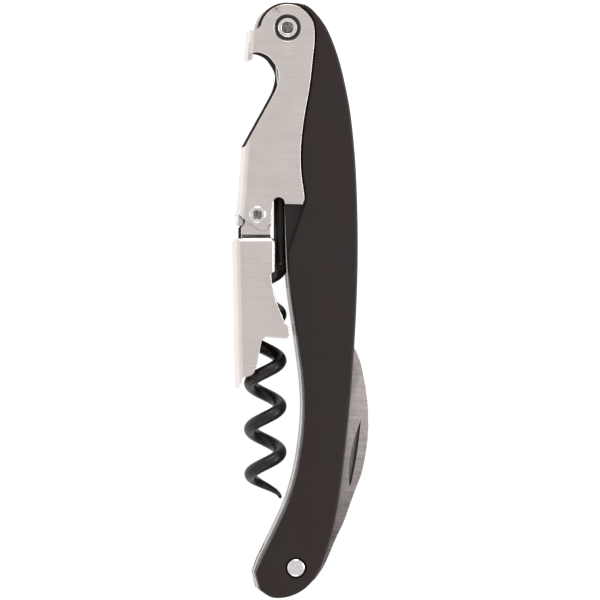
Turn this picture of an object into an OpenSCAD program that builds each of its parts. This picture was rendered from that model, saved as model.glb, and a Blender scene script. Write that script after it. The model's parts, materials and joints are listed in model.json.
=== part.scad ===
// Waiter's corkscrew with a two-step lever, folded shut and lying on its side.
// X runs across the handle, Y along it towards the head, and Z up through its thickness.
// The origin is under the middle of the closed tool, on the surface that it lies on.

/* [Handle] */
// Thickness over the raised faces of the two covers
body_t = 12; // [11.8:0.1:13]
// Depth of the low part of each cover, where the lever's cheeks lie
recess_drop = 1.7; // [1.6:0.05:1.9]
// Width of the slot between the two liners
slot_w = 3.2; // [3.1:0.1:3.4]
// Thickness of each steel liner
liner_t = 0.9; // [0.7:0.1:1.1]
// Width of the slip spring along the inner side of the handle
spring_w = 2.8; // [2:0.2:3]
// Width of the spacer strip along the outer side of the handle
spacer_w = 3.4; // [2.4:0.2:4]

/* [Lever] */
// Width of the lever channel over both cheeks
lever_w = 11.2; // [11:0.1:11.6]
// Thickness of the lever's sheet steel
sheet_t = 1; // [0.8:0.1:1]
// Outer radius of the bend between web and cheek
bend_r = 1.3; // [0.8:0.1:1.6]
// Gap between the upper cheeks and the lower lever's tongue inside them
tongue_gap = 0.1; // [0.05:0.05:0.2]

/* [Worm] */
// Diameter of the worm's wire
wire_d = 2.6; // [2.2:0.1:2.8]
// Outer diameter of the coil
worm_d = 8.6; // [8:0.1:8.8]
// Distance from one turn to the next
worm_pitch = 9.2; // [8:0.1:9.2]
// Number of turns
worm_turns = 5; // [4:0.5:5]

/* [Knife] */
// Thickness of the foil knife
blade_t = 1.8; // [1.4:0.1:2]

/* [Pins] */
// Diameter of the head rivet, which the lever turns on
head_pin_d = 3; // [2.6:0.1:3.4]
// Diameter of the tail rivet, which the knife turns on
tail_pin_d = 2.6; // [2:0.1:3]
// Diameter of the knuckle rivet between the two levers
knuckle_pin_d = 2.8; // [2.2:0.1:3]
// Diameter of the pin through the worm's eye
worm_pin_d = 3; // [2.6:0.1:3.2]
// Diameter of the small rivets that hold the spring and the spacer
small_pin_d = 2; // [1.6:0.1:2.2]
// Radial clearance of a turning fit
fit = 0.06; // [0.03:0.01:0.1]

/* [Hidden] */
$fn = 64;
curve_steps = 4;

// Colours
cover_black = "#3c3331";
steel = "#c9c9c6";
dark_steel = "#9a9a98";
worm_black = "#1d1d20";
brass = "#b59a55";

// Heights above the middle plane of the tool
slot_z = slot_w / 2;
liner_z = slot_z + liner_t;
face_z = body_t / 2;
recess_z = face_z - recess_drop;
cheek_z = lever_w / 2;
cheek_in_z = cheek_z - sheet_t;
tongue_z = cheek_in_z - tongue_gap;
tongue_in_z = tongue_z - sheet_t;
past = 1;

// From the tool's own middle to the middle of its box
frame_shift = [-0.575, 0.035];

// Pivots
head_pivot = [-2.64, 54.5];
knuckle_pivot = [-8.74, 17.05];
tail_pivot = [-0.98, -53.6];
worm_pivot = [-0.75, 22.4];

// ---------- curves ----------

// Point on a Catmull-Rom curve between b and c
function curve_point(a, b, c, d, t) =
    0.5 * (2 * b + (c - a) * t + (2 * a - 5 * b + 4 * c - d) * t * t
           + (3 * b - a - 3 * c + d) * t * t * t);

// Smooth open curve through the points p
function curve(p) =
    [for (i = [0 : len(p) - 2]) for (j = [0 : curve_steps - 1])
        curve_point(p[max(i - 1, 0)], p[i], p[i + 1], p[min(i + 2, len(p) - 1)], j / curve_steps),
     p[len(p) - 1]];

// Round arc from angle a0 to angle a1
function arc(centre, r, a0, a1, steps = 16) =
    [for (i = [0 : steps]) let (a = a0 + (a1 - a0) * i / steps) centre + r * [cos(a), sin(a)]];

function reverse(p) = [for (i = [len(p) - 1 : -1 : 0]) p[i]];
function unit(v) = v / norm(v);

// The path p moved sideways by d, to the right of its direction
function beside(p, d) =
    [for (i = [0 : len(p) - 1])
        let (t = unit(p[min(i + 1, len(p) - 1)] - p[max(i - 1, 0)])) p[i] + d * [t.y, -t.x]];

// The part of a path between two heights
function between_y(p, low, high) = [for (q = p) if (q.y >= low && q.y <= high) q];

// ---------- handle outline ----------

head_centre = [-2.75, 53.75];
head_r = 5.85;
head_arc = arc(head_centre, head_r, 205, 84);

// Outer side, from the head down to the tail
outer_side = curve([
    [-2.0, 59.57], [0.4, 59.3], [2.6, 57.9], [5.3, 54.3], [7.5, 48.8], [9.1, 42.4], [10.2, 36],
    [11.1, 26], [11.5, 13], [11.3, 0.8], [10.5, -13.6], [9.2, -28], [7.3, -42.4],
    [4.7, -52], [2, -56.7], [-1.5, -59.1], [-5.5, -59.6], [-8.2, -58]]);

// Inner side, from the tail up to the head, and how far the liners stand proud of it
inner_points = [
    [-9.1, -54.6], [-7.8, -51.7], [-4.8, -45.6], [-2, -39.2], [-0.2, -32], [0.7, -24],
    [0.6, -16.8], [-0.6, -7.2], [-2, 2.4], [-2.7, 11], [-3.1, 24], [-3.6, 38], [-4.4, 47.6]];
liner_proud = [0.2, 0.5, 0.5, 0.45, 0.4, 0.3, 0.3, 0.3, 0.3, 0.1, 0, 0, 0];
inner_side = curve(inner_points);
liner_side = curve([for (i = [0 : len(inner_points) - 1]) inner_points[i] - [liner_proud[i], 0]]);

cover_outline = concat(outer_side, inner_side, head_arc);
liner_outline = concat(outer_side, liner_side, head_arc);

// ---------- lever outlines ----------

lever_head_centre = [-2.64, 53.76];
lever_head_r = 5.45;

// Inner edge of the upper cheeks, from the head down to the upper bottle rest
upper_inner_edge = curve([
    [2.81, 53.2], [2.8, 51.6], [2.56, 49.3], [1.84, 43], [0.94, 37.8], [0.4, 34.2], [0.06, 30.4],
    [0.06, 26.8], [0.32, 23.8], [0.68, 21.6], [0.76, 20]]);
// Mouth of the crown-cap opener, from its hook down to the sloping edge
cap_mouth = curve([
    [-10.5, 49.3], [-8.4, 49.55], [-6.5, 48.8], [-5.4, 47.6], [-4.5, 46], [-4.3, 44.6],
    [-4.8, 42.4], [-5.7, 40.5]]);
// Outer face of the upper web, from its top edge down to its foot
upper_web_face = [[-11.2, 30.6], [-11.5, 26], [-11.8, 21.5], [-12.3, 17.2]];
// Narrow foot of the web, which stands between the lower lever's tongues
foot_face = [[-12.2, 18], [-12.4, 14.9]];
foot_half_w = 3.2;
// Lower end of the cheek around the knuckle
knuckle_end = curve([[-12.1, 16.9], [-10.7, 15.6], [-9, 14.5], [-7.6, 13.9], [-6.5, 14.2],
                     [-5.9, 15.3], [-5.75, 17.4]]);
rest_slot = arc([-4.4, 19.4], 1.15, 180, 0, 10);
upper_cheek = concat(
    arc(lever_head_centre, lever_head_r, 0, 168), [[-8.6, 54.2], [-9.2, 54], [-10.15, 54]],
    cap_mouth, upper_web_face, knuckle_end, rest_slot, [[-3.2, 19.2], [0.4, 19.1]],
    reverse(upper_inner_edge));

// Outer face of the lower web, from its top corner down to the toe
lower_web_face = [[-13.05, 11.6], [-12.8, 0], [-12.45, -17.8]];
lower_cheek = concat(
    [[-12.3, 12.4], [-5.8, 12.4], [-5.08, 11.7]],
    curve([[-4.98, 7.4], [-5.2, 6], [-5.88, 5.2], [-5.7, 3.4], [-4.9, -0.2], [-3.9, -2.7],
           [-3.1, -4.7], [-2.4, -5.6], [-2.3, -6.8], [-2.84, -7.7]]),
    curve([[-7.1, -7.4], [-7.8, -8.2], [-8.5, -11.6], [-9.1, -13.9], [-9.8, -15], [-11.6, -15.5]]),
    reverse(lower_web_face));

// The tongue that carries the lower lever, between the upper cheeks
tongue_r = 2.4;
tongue_foot_y = 10.8;
joggle_y = 12.3;
tongue_outline = concat(
    [[-11.9, tongue_foot_y], [-11.9, 15], [-11.6, 15.4]],
    arc(knuckle_pivot, tongue_r, 205, -20, 20),
    [[-6.1, 14.6], [-5.9, tongue_foot_y]]);

// ---------- raised part of the covers ----------

// Step between the low and the raised part, a gap away from the lever's inner edge
step_gap = 0.3;
step_line = concat(
    [[0.1, 62]], arc(lever_head_centre, lever_head_r + step_gap, 62, 8, 10),
    beside(upper_inner_edge, -step_gap),
    curve([[0.9, 19.2], [0.1, 17], [-1.2, 13.2], [-2.1, 10.4], [-4, 7]]));
raised_area = concat(step_line, [[-14, 0], [-14, -64], [16, -64], [16, 62]]);

// ---------- knife outline ----------

knife_back = curve([
    [10.9, -8.9], [12.1, -11.1], [13.2, -15], [14, -20], [14.2, -24.5], [13.9, -29], [12.9, -34.3],
    [11.7, -37.6], [10.3, -41.4], [9.1, -44.7], [7.6, -47.8], [5.5, -52.7], [4.4, -54.6]]);
knife_tang = curve([[4.4, -54.6], [3, -56.4], [0.8, -57.6], [-1.6, -57.5], [-3.8, -56.3],
                    [-4.85, -53.8], [-4.2, -51.5], [-2.6, -49.6]]);
knife_edge = curve([[-2.6, -49.6], [0.4, -46], [2.4, -40.6], [3.5, -34], [4.1, -27],
                    [4.9, -20.5], [6.4, -15.6], [8.4, -11.6], [10.9, -8.9]]);

// Nail nick in the back of the blade
nick_outline = curve([[12.6, -24], [11.2, -28], [10.2, -33], [10.3, -37.4], [11, -35],
                      [11.9, -30], [12.6, -24]]);
nick_depth = 0.35;

// ---------- shared pieces ----------

// Places a piece, which is drawn about the middle plane, in the tool's frame
module placed() { translate([frame_shift.x, frame_shift.y, face_z]) children(); }

// A plate from height z0 to height z1
module plate(z0, z1, outline) {
    translate([0, 0, z0]) linear_extrude(z1 - z0) polygon(outline);
}

// A round bar through the tool at a place
module bar(place, r, z0, z1) {
    translate([place.x, place.y, z0]) cylinder(r = r, h = z1 - z0);
}

// A rivet with a low domed head at each end and a dimple in each head
module rivet(place, r, seat_z, top_z, head_r, dimple_r, dimple_d) {
    dome_steps = 5;
    profile = concat(
        [[0, 0], [r, 0], [r, seat_z], [head_r, seat_z]],
        [for (i = [0 : dome_steps])
            let (a = 70 * i / dome_steps)
            [dimple_r + (head_r - dimple_r) * cos(a), seat_z + (top_z - seat_z) * sin(a) / sin(70)]],
        [[dimple_r, top_z], [dimple_r * 0.85, top_z - dimple_d], [0, top_z - dimple_d]]);
    translate([place.x, place.y, 0])
        for (side = [0, 1]) mirror([0, 0, side]) rotate_extrude() polygon(profile);
}

// Rounds the two long outer edges of a web face that runs down from p to q
module bend_cut(p, q) {
    run = unit(q - p);
    start = p - 2 * run;
    for (side = [0, 1]) mirror([0, 0, side])
        translate([start.x, start.y, 0]) rotate([90, 0, atan2(run.y, run.x) + 90])
            linear_extrude(norm(q - p) + 4)
                difference() {
                    translate([-past, cheek_z - bend_r]) square(bend_r + past);
                    translate([bend_r, cheek_z - bend_r]) circle(bend_r);
                }
}

// ---------- handle ----------

spring_rivet_places = [[0.4, -2.5], [2.1, -13.5], [2, -25.5]];
spine_rivet_places = [[8.9, 2], [9, 20], [6.4, 43]];

module cover_half() {
    tail_seat_r = 2.15;
    tail_seat_depth = 0.9;
    difference() {
        union() {
            plate(liner_z, recess_z, cover_outline);
            intersection() {
                plate(liner_z, face_z, cover_outline);
                plate(liner_z - past, face_z + past, raised_area);
            }
        }
        bar(head_pivot, head_pin_d / 2, 0, face_z + past);
        bar(tail_pivot, tail_pin_d / 2, 0, face_z + past);
        bar(tail_pivot, tail_seat_r, face_z - tail_seat_depth, face_z + past);
    }
}

module front_cover() { color(cover_black) cover_half(); }

module rear_cover() { color(cover_black) mirror([0, 0, 1]) cover_half(); }

module liner_half() {
    difference() {
        plate(slot_z, liner_z, liner_outline);
        bar(head_pivot, head_pin_d / 2, 0, face_z);
        bar(tail_pivot, tail_pin_d / 2, 0, face_z);
        bar(worm_pivot, worm_pin_d / 2, 0, face_z);
        for (place = concat(spring_rivet_places, spine_rivet_places))
            bar(place, small_pin_d / 2, 0, face_z);
    }
}

module front_liner() { color(steel) liner_half(); }

module rear_liner() { color(steel) mirror([0, 0, 1]) liner_half(); }

// Slip spring: fixed at its rivets, its free tail end bears on the knife's tang
module back_spring() {
    edge = between_y(liner_side, -49.5, 2.6);
    color(dark_steel)
        difference() {
            plate(-slot_z, slot_z, concat(edge, reverse(beside(edge, spring_w))));
            for (place = spring_rivet_places) bar(place, small_pin_d / 2, -face_z, face_z);
        }
}

module small_rivets(places) {
    for (place = places) bar(place, small_pin_d / 2, -liner_z, liner_z);
}

module spring_rivets() { color(steel) small_rivets(spring_rivet_places); }

// Strip that closes the outer side of the handle above the knife
module spine_spacer() {
    edge = between_y(outer_side, -4.5, 52);
    inset = 0.25;
    color(dark_steel)
        difference() {
            plate(-slot_z, slot_z,
                  concat(beside(edge, inset), reverse(beside(edge, inset + spacer_w))));
            for (place = spine_rivet_places) bar(place, small_pin_d / 2, -face_z, face_z);
        }
}

module spine_rivets() { color(steel) small_rivets(spine_rivet_places); }

module head_bush() {
    bush_r = 4.2;
    color(brass)
        difference() {
            bar(head_pivot, bush_r, -slot_z, slot_z);
            bar(head_pivot, head_pin_d / 2, -face_z, face_z);
        }
}

// Rivet with a thin flange at each end, which lies in a dish in the lever's cheek
dish_r = 2.8;
dish_depth = 0.3;
module head_rivet() {
    flange_r = 2.1;
    flange_t = 0.3;
    socket_r = 1.15;
    socket_depth = 0.7;
    floor_z = cheek_z - dish_depth + fit;
    color(steel)
        difference() {
            union() {
                bar(head_pivot, head_pin_d / 2, -floor_z, floor_z);
                for (side = [0, 1]) mirror([0, 0, side])
                    bar(head_pivot, flange_r, floor_z, floor_z + flange_t);
            }
            for (side = [0, 1]) mirror([0, 0, side])
                bar(head_pivot, socket_r, floor_z + flange_t - socket_depth, face_z);
        }
}

module worm_pin() { color(steel) bar(worm_pivot, worm_pin_d / 2, -liner_z, liner_z); }

// ---------- worm ----------

wire_r = wire_d / 2;
coil_r = worm_d / 2 - wire_r;
eye_bore_r = worm_pin_d / 2 + fit;
eye_r = eye_bore_r + wire_r + 0.04;
shank_x = worm_pivot.x - eye_r;
worm_axis_x = shank_x - coil_r;
coil_top_y = 6.4;
lead_in = 30;

// Point on the coil, which turns right-handed as it goes down
function coil(a) =
    [worm_axis_x + coil_r * cos(a), coil_top_y - worm_pitch * a / 360, coil_r * sin(a)];
function coil_direction(a) = unit(coil(a + 1) - coil(a - 1));

// Cubic curve from p to q, which leaves along u and arrives along v
function blend(p, u, q, v, t) =
    (1 - 3 * t * t + 2 * t * t * t) * p + (3 * t * t - 2 * t * t * t) * q
    + (t - 2 * t * t + t * t * t) * u + (t * t * t - t * t) * v;

shank_foot_y = 12;
lead_start = [shank_x, 10.5, 0];
lead_pull = 6;
turn_steps = 20;
coil_end = 360 * worm_turns;
worm_path = concat(
    [[shank_x, shank_foot_y + 0.5, 0]],
    [for (i = [0 : 7]) blend(lead_start, [0, -lead_pull, 0], coil(lead_in),
                             lead_pull * coil_direction(lead_in), i / 8)],
    [for (i = [0 : round((coil_end - lead_in) / 360 * turn_steps)])
        coil(lead_in + (coil_end - lead_in) * i / round((coil_end - lead_in) / 360 * turn_steps))]);

// Wire radius at a place on the path: full from the shank on, then tapering over the last
// part of a turn
tip_taper = 190;
tip_r = 0.35;
function taper_at(p) =
    let (a = (coil_top_y - p.y) / worm_pitch * 360, s = max(0, a - coil_end + tip_taper) / tip_taper)
    p.y > shank_foot_y ? 0.97 * wire_r : wire_r + (tip_r - wire_r) * s;

// Directions across the wire at point i of the path
function along(i) = unit(worm_path[min(i + 1, len(worm_path) - 1)] - worm_path[max(i - 1, 0)]);
function outward(i) =
    let (p = worm_path[i], v = [p.x - worm_axis_x, 0, p.z], t = along(i)) unit(v - (v * t) * t);

module worm_wire() {
    sides = 12;
    last = len(worm_path) - 1;
    points = [for (i = [0 : last]) let (n = outward(i), b = cross(along(i), n), r = taper_at(worm_path[i]))
        for (k = [0 : sides - 1]) let (a = 360 * k / sides) worm_path[i] + r * (cos(a) * n + sin(a) * b)];
    walls = [for (i = [0 : last - 1]) for (k = [0 : sides - 1])
        let (m = (k + 1) % sides, a = i * sides, b = a + sides)
            for (face = [[a + k, b + k, b + m], [a + k, b + m, a + m]]) face];
    start_cap = [for (k = [0 : sides - 1]) k];
    end_cap = [for (k = [sides - 1 : -1 : 0]) last * sides + k];
    polyhedron(points, concat(walls, [start_cap, end_cap]));
}

// Loop at the end of the shank, flattened inside where it runs on its pin
module worm_eye() {
    eye_wrap = 260;
    flat_h = 0.9;
    swell = 0.03;
    translate([worm_pivot.x, worm_pivot.y, 0]) rotate([0, 0, 180 - eye_wrap])
        rotate_extrude(angle = eye_wrap)
            union() {
                translate([eye_r, 0]) circle(wire_r + swell);
                translate([eye_bore_r, -flat_h / 2]) square([wire_r, flat_h]);
            }
}

module worm() {
    color(worm_black)
        union() {
            worm_wire();
            worm_eye();
            translate([shank_x, shank_foot_y, 0]) rotate([-90, 0, 0])
                cylinder(r = wire_r, h = worm_pivot.y - shank_foot_y + 0.3);
        }
}

// ---------- knife ----------

module knife_blade() {
    half_t = blade_t / 2;
    color(steel)
        difference() {
            plate(-half_t, half_t, concat(knife_back, knife_tang, knife_edge));
            bar(tail_pivot, tail_pin_d / 2 + fit, -face_z, face_z);
            plate(half_t - nick_depth, half_t + past, nick_outline);
        }
}

module knife_washer() {
    washer_r = 3.4;
    side_play = 0.05;
    color(brass)
        difference() {
            bar(tail_pivot, washer_r, blade_t / 2 + side_play, slot_z);
            bar(tail_pivot, tail_pin_d / 2 + fit, -face_z, face_z);
        }
}

module front_knife_washer() { knife_washer(); }

module rear_knife_washer() { mirror([0, 0, 1]) knife_washer(); }

module tail_rivet() {
    color(steel) rivet(tail_pivot, tail_pin_d / 2, face_z - 0.85, face_z - 0.05, 1.95, 0.9, 0.3);
}

// ---------- levers ----------

// Both cheeks of a channel, cut from one side outline
module cheeks(outline) {
    for (side = [0, 1]) mirror([0, 0, side]) plate(cheek_in_z, cheek_z, outline);
}

// Web of a channel: its outer face, thickened by the sheet, to half_w either side
module web(face, half_w) {
    plate(-half_w, half_w, concat(face, reverse([for (p = face) p + [sheet_t, 0]])));
}

module upper_lever() {
    hook_face = [[-10.15, 54], [-10.6, 48]];
    color(steel)
        difference() {
            union() {
                cheeks(upper_cheek);
                web(upper_web_face, cheek_z);
                web(foot_face, foot_half_w);
                web(hook_face, cheek_z);
            }
            bend_cut(upper_web_face[0], upper_web_face[3]);
            bend_cut(hook_face[0], hook_face[1]);
            bar(head_pivot, head_pin_d / 2 + fit, -face_z, face_z);
            for (side = [0, 1]) mirror([0, 0, side])
                bar(head_pivot, dish_r, cheek_z - dish_depth, face_z);
            bar(knuckle_pivot, knuckle_pin_d / 2, -face_z, face_z);
        }
}

module lower_lever() {
    color(steel)
        difference() {
            union() {
                cheeks(lower_cheek);
                web(lower_web_face, cheek_z);
                for (side = [0, 1]) mirror([0, 0, side]) {
                    plate(tongue_in_z, tongue_z, tongue_outline);
                    intersection() {
                        plate(tongue_in_z, cheek_z, tongue_outline);
                        translate([-20, tongue_foot_y, 0]) cube([20, joggle_y - tongue_foot_y, face_z]);
                    }
                }
            }
            bend_cut(lower_web_face[0], lower_web_face[2]);
            bar(knuckle_pivot, knuckle_pin_d / 2 + fit, -face_z, face_z);
        }
}

module knuckle_rivet() {
    color(steel) rivet(knuckle_pivot, knuckle_pin_d / 2, cheek_z, face_z - 0.02, 1.75, 0.85, 0.3);
}

module knuckle_bush() {
    bush_r = 2;
    side_play = 0.05;
    color(brass)
        difference() {
            bar(knuckle_pivot, bush_r, side_play - tongue_in_z, tongue_in_z - side_play);
            bar(knuckle_pivot, knuckle_pin_d / 2, -face_z, face_z);
        }
}

placed() front_cover();
placed() rear_cover();
placed() front_liner();
placed() rear_liner();
placed() back_spring();
placed() spring_rivets();
placed() spine_spacer();
placed() spine_rivets();
placed() head_bush();
placed() head_rivet();
placed() worm_pin();
placed() worm();
placed() knife_blade();
placed() front_knife_washer();
placed() rear_knife_washer();
placed() tail_rivet();
placed() upper_lever();
placed() lower_lever();
placed() knuckle_rivet();
placed() knuckle_bush();
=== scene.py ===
"""A waiter's corkscrew with a two-step lever, folded shut and lying on a pale floor.

Outlines are in millimetres, drawn about the tool's own middle, as seen from above: x across the
handle, y towards the head. Heights are millimetres above the middle plane of the tool. Each piece
is modelled in these millimetres, and finished() then sets it in its place in the frame, in metres.
"""
import json
import math

import bpy
import numpy as np
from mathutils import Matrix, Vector


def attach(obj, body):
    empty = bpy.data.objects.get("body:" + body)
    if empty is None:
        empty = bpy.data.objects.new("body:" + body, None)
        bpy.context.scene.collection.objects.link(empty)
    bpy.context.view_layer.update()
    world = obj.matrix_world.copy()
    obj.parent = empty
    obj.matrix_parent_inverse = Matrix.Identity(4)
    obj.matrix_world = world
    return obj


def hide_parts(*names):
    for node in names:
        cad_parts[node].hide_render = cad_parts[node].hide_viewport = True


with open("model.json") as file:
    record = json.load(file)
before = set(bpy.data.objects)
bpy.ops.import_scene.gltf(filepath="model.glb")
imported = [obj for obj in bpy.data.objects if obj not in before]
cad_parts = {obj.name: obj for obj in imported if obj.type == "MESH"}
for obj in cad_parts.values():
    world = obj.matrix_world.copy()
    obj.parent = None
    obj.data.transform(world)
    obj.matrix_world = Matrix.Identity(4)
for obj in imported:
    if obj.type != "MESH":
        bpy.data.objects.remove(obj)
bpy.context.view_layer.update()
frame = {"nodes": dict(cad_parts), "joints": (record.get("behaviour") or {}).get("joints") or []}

MM = 0.001
NO_LENGTH = 1e-6

# ---------- sizes that every piece shares ----------

HEAD_PIVOT = (-2.64, 54.5)
KNUCKLE_PIVOT = (-8.74, 17.05)
TAIL_PIVOT = (-0.98, -53.6)
WORM_PIVOT = (-0.75, 22.4)

HEAD_RIVET_R = 1.5
KNUCKLE_RIVET_R = 1.4
TAIL_RIVET_R = 1.3
WORM_PIN_R = 1.5
BORE_GAP = 0.06

SLOT = 1.6
LINER_TOP = 2.5
RECESS_TOP = 4.3
CHEEK_IN, CHEEK_OUT = 4.6, 5.6
TONGUE_IN, TONGUE_OUT = 3.5, 4.5
SHEET = 1.0
FACE = 6.0

# The frame's own place of the head pivot puts the outlines where the CAD model is.
joint_places = {joint["name"]: joint["pos_m"] for joint in frame["joints"]}
head_place = joint_places["lever_swing"]
ORIGIN = (head_place[0] / MM - HEAD_PIVOT[0], head_place[1] / MM - HEAD_PIVOT[1],
          head_place[2] / MM)


def place(x, y, z=0.0):
    """A point of the drawing as a point of the frame, in metres."""
    return Vector(((x + ORIGIN[0]) * MM, (y + ORIGIN[1]) * MM, (z + ORIGIN[2]) * MM))


# ---------- curves ----------

def smooth(points, steps=6):
    """A Catmull-Rom curve through the points."""
    p = [np.array(q, float) for q in points]
    last = len(p) - 1
    out = []
    for i in range(last):
        a, b, c, d = p[max(i - 1, 0)], p[i], p[i + 1], p[min(i + 2, last)]
        for j in range(steps):
            t = j / steps
            out.append(0.5 * (2 * b + (c - a) * t + (2 * a - 5 * b + 4 * c - d) * t ** 2
                              + (3 * b - a - 3 * c + d) * t ** 3))
    return [tuple(q) for q in out] + [tuple(p[last])]


def arc(centre, radius, start, end, steps=24):
    """A round arc between two angles, in degrees."""
    angles = [math.radians(start + (end - start) * i / steps) for i in range(steps + 1)]
    return [(centre[0] + radius * math.cos(a), centre[1] + radius * math.sin(a)) for a in angles]


def beside(path, distance):
    """The path moved sideways, to the right of its direction."""
    out = []
    for i, (x, y) in enumerate(path):
        before, after = path[max(i - 1, 0)], path[min(i + 1, len(path) - 1)]
        dx, dy = after[0] - before[0], after[1] - before[1]
        length = math.hypot(dx, dy)
        out.append((x + distance * dy / length, y - distance * dx / length))
    return out


def between_y(path, low, high):
    """The points of a path whose y lies in a range."""
    return [p for p in path if low <= p[1] <= high]


def resampled(path, count):
    """The path as count + 1 points at even distances."""
    p = np.array(path)
    run = np.concatenate([[0], np.cumsum(np.linalg.norm(np.diff(p, axis=0), axis=1))])
    at = np.linspace(0, run[-1], count + 1)
    return np.stack([np.interp(at, run, p[:, k]) for k in range(2)], axis=1)


def distance_to(path, points):
    """How far each point is from a path of straight runs."""
    a = np.array(path)[:-1]
    b = np.array(path)[1:]
    run = b - a
    squared = np.maximum((run ** 2).sum(axis=1), NO_LENGTH)
    best = np.full(len(points), np.inf)
    for i, p in enumerate(points):
        t = np.clip(((p - a) * run).sum(axis=1) / squared, 0, 1)
        best[i] = np.sqrt((((a + run * t[:, None]) - p) ** 2).sum(axis=1).min())
    return best


# ---------- outlines ----------

head_arc = arc((-2.75, 53.75), 5.85, 205, 84)
outer_side = smooth([
    (-2.0, 59.57), (0.4, 59.3), (2.6, 57.9), (5.3, 54.3), (7.5, 48.8), (9.1, 42.4), (10.2, 36),
    (11.1, 26), (11.5, 13), (11.3, 0.8), (10.5, -13.6), (9.2, -28), (7.3, -42.4),
    (4.7, -52), (2, -56.7), (-1.5, -59.1), (-5.5, -59.6), (-8.2, -58)])
inner_points = [
    (-9.1, -54.6), (-7.8, -51.7), (-4.8, -45.6), (-2, -39.2), (-0.2, -32), (0.7, -24),
    (0.6, -16.8), (-0.6, -7.2), (-2, 2.4), (-2.7, 11), (-3.1, 24), (-3.6, 38), (-4.4, 47.6)]
liner_proud = [0.2, 0.5, 0.5, 0.45, 0.4, 0.3, 0.3, 0.3, 0.3, 0.1, 0, 0, 0]
inner_side = smooth(inner_points)
liner_side = smooth([(x - out, y) for (x, y), out in zip(inner_points, liner_proud)])
cover_outline = outer_side + inner_side + head_arc
liner_outline = outer_side + liner_side + head_arc

LEVER_HEAD = (-2.64, 53.76)
LEVER_HEAD_R = 5.45
upper_inner_edge = smooth([
    (2.81, 53.2), (2.8, 51.6), (2.56, 49.3), (1.84, 43), (0.94, 37.8), (0.4, 34.2), (0.06, 30.4),
    (0.06, 26.8), (0.32, 23.8), (0.68, 21.6), (0.76, 20)])
cap_mouth = smooth([
    (-10.5, 49.3), (-8.4, 49.55), (-6.5, 48.8), (-5.4, 47.6), (-4.5, 46), (-4.3, 44.6),
    (-4.8, 42.4), (-5.7, 40.5)])
# The outer faces of the bent webs. They trim cheeks that are drawn past them.
upper_web_face = [
    (-9.9, 60), (-10.15, 54), (-10.6, 48), (-11.2, 30.6), (-11.5, 26), (-11.8, 21.5),
    (-12.3, 17.2), (-12.6, 14)]
knuckle_end = smooth([
    (-12.1, 16.9), (-10.7, 15.6), (-9, 14.5), (-7.6, 13.9), (-6.5, 14.2), (-5.9, 15.3),
    (-5.75, 17.4)])
upper_cheek = (
    arc(LEVER_HEAD, LEVER_HEAD_R, 0, 168) + [(-8.6, 54.2), (-9.2, 54), (-11.2, 54), (-11.6, 49.1)]
    + cap_mouth + [(-11.75, 29.6), (-12.6, 26), (-13.1, 18), (-12.9, 17.1)]
    + knuckle_end + arc((-4.4, 19.4), 1.15, 180, 0, 12)
    + [(-3.2, 19.2), (0.4, 19.1)] + upper_inner_edge[::-1])

LOWER_CORNER = (-5.88, 5.2)
lower_web_face = [(-13.1, 14), (-13.05, 11.6), (-12.8, 0), (-12.4, -20)]
lower_cheek = [point for point in (
    [(-12.3, 12.4)] + arc((-5.95, 11.45), 0.95, 90, 0, 6)
    + smooth([(-4.98, 7.4), (-5.2, 6), (-5.88, 5.2), (-5.7, 3.4), (-4.9, -0.2), (-3.9, -2.7),
              (-3.1, -4.7), (-2.4, -5.6), (-2.3, -6.8), (-2.84, -7.7)])
    + smooth([(-7.1, -7.4), (-7.8, -8.2), (-8.5, -11.6), (-9.1, -13.9), (-9.8, -15),
              (-11.6, -15.5)])
    + [(-12.8, -18.75), (-13.6, -17), (-13.6, 11), (-13.05, 11.6)])
               if not 0.001 < math.dist(point, LOWER_CORNER) < 0.35]
tongue_outline = (
    [(-11.8, 10.8), (-11.8, 14.4), (-11.25, 15.2)] + arc(KNUCKLE_PIVOT, 2.3, 200, -20, 30)
    + [(-6.1, 14.6), (-5.9, 10.8)])

# The step between the low part of a cover and its raised part, from the head down
STEP_GAP = 0.3
step_line = (
    arc(LEVER_HEAD, LEVER_HEAD_R + STEP_GAP, 61.5, 8, 12) + beside(upper_inner_edge, -STEP_GAP)
    + smooth([(0.9, 19.2), (0.1, 17), (-1.2, 13.2), (-2.1, 10.4), (-2.45, 8.6)])[1:])

# The narrow foot of the upper web, and the hook above the cap's mouth
foot_outline = [(-12.13, 19), (-12.42, 15.2), (-12.3, 14.9), (-11.6, 14.9), (-11.42, 15.2),
                (-11.17, 19)]
hook_outline = [(-10.3, 51.6), (-10.64, 48.15), (-10.5, 47.95), (-9.8, 48.05), (-9.6, 48.5),
                (-9.38, 51.6)]

knife_back = smooth([
    (4.4, -54.6), (5.5, -52.7), (7.6, -47.8), (9.1, -44.7), (10.3, -41.4), (11.7, -37.6),
    (12.9, -34.3), (13.9, -29), (14.2, -24.5), (14, -20), (13.2, -15), (12.1, -11.1),
    (10.9, -8.9)])
knife_tang_right = smooth([(-1.6, -57.5), (0.8, -57.6), (3, -56.4), (4.4, -54.6)])
knife_tang_left = smooth([(-1.6, -57.5), (-3.8, -56.3), (-4.85, -53.8), (-4.2, -51.5),
                          (-2.6, -49.6)])
knife_edge = smooth([
    (-2.6, -49.6), (0.4, -46), (2.4, -40.6), (3.5, -34), (4.1, -27), (4.9, -20.5),
    (6.4, -15.6), (8.4, -11.6), (10.9, -8.9)])
nick_outline = smooth([
    (12.6, -24), (11.2, -28), (10.2, -33), (10.3, -37.4), (11, -35), (11.9, -30), (12.6, -24)])[:-1]
RICASSO_Y = -41


# ---------- modelling by hand ----------

def nothing_selected():
    if bpy.context.mode != "OBJECT":
        bpy.ops.object.mode_set(mode="OBJECT")
    bpy.ops.object.select_all(action="DESELECT")


def named(name):
    piece = bpy.context.active_object
    piece.name = name
    piece.data.name = name
    return piece


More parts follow.
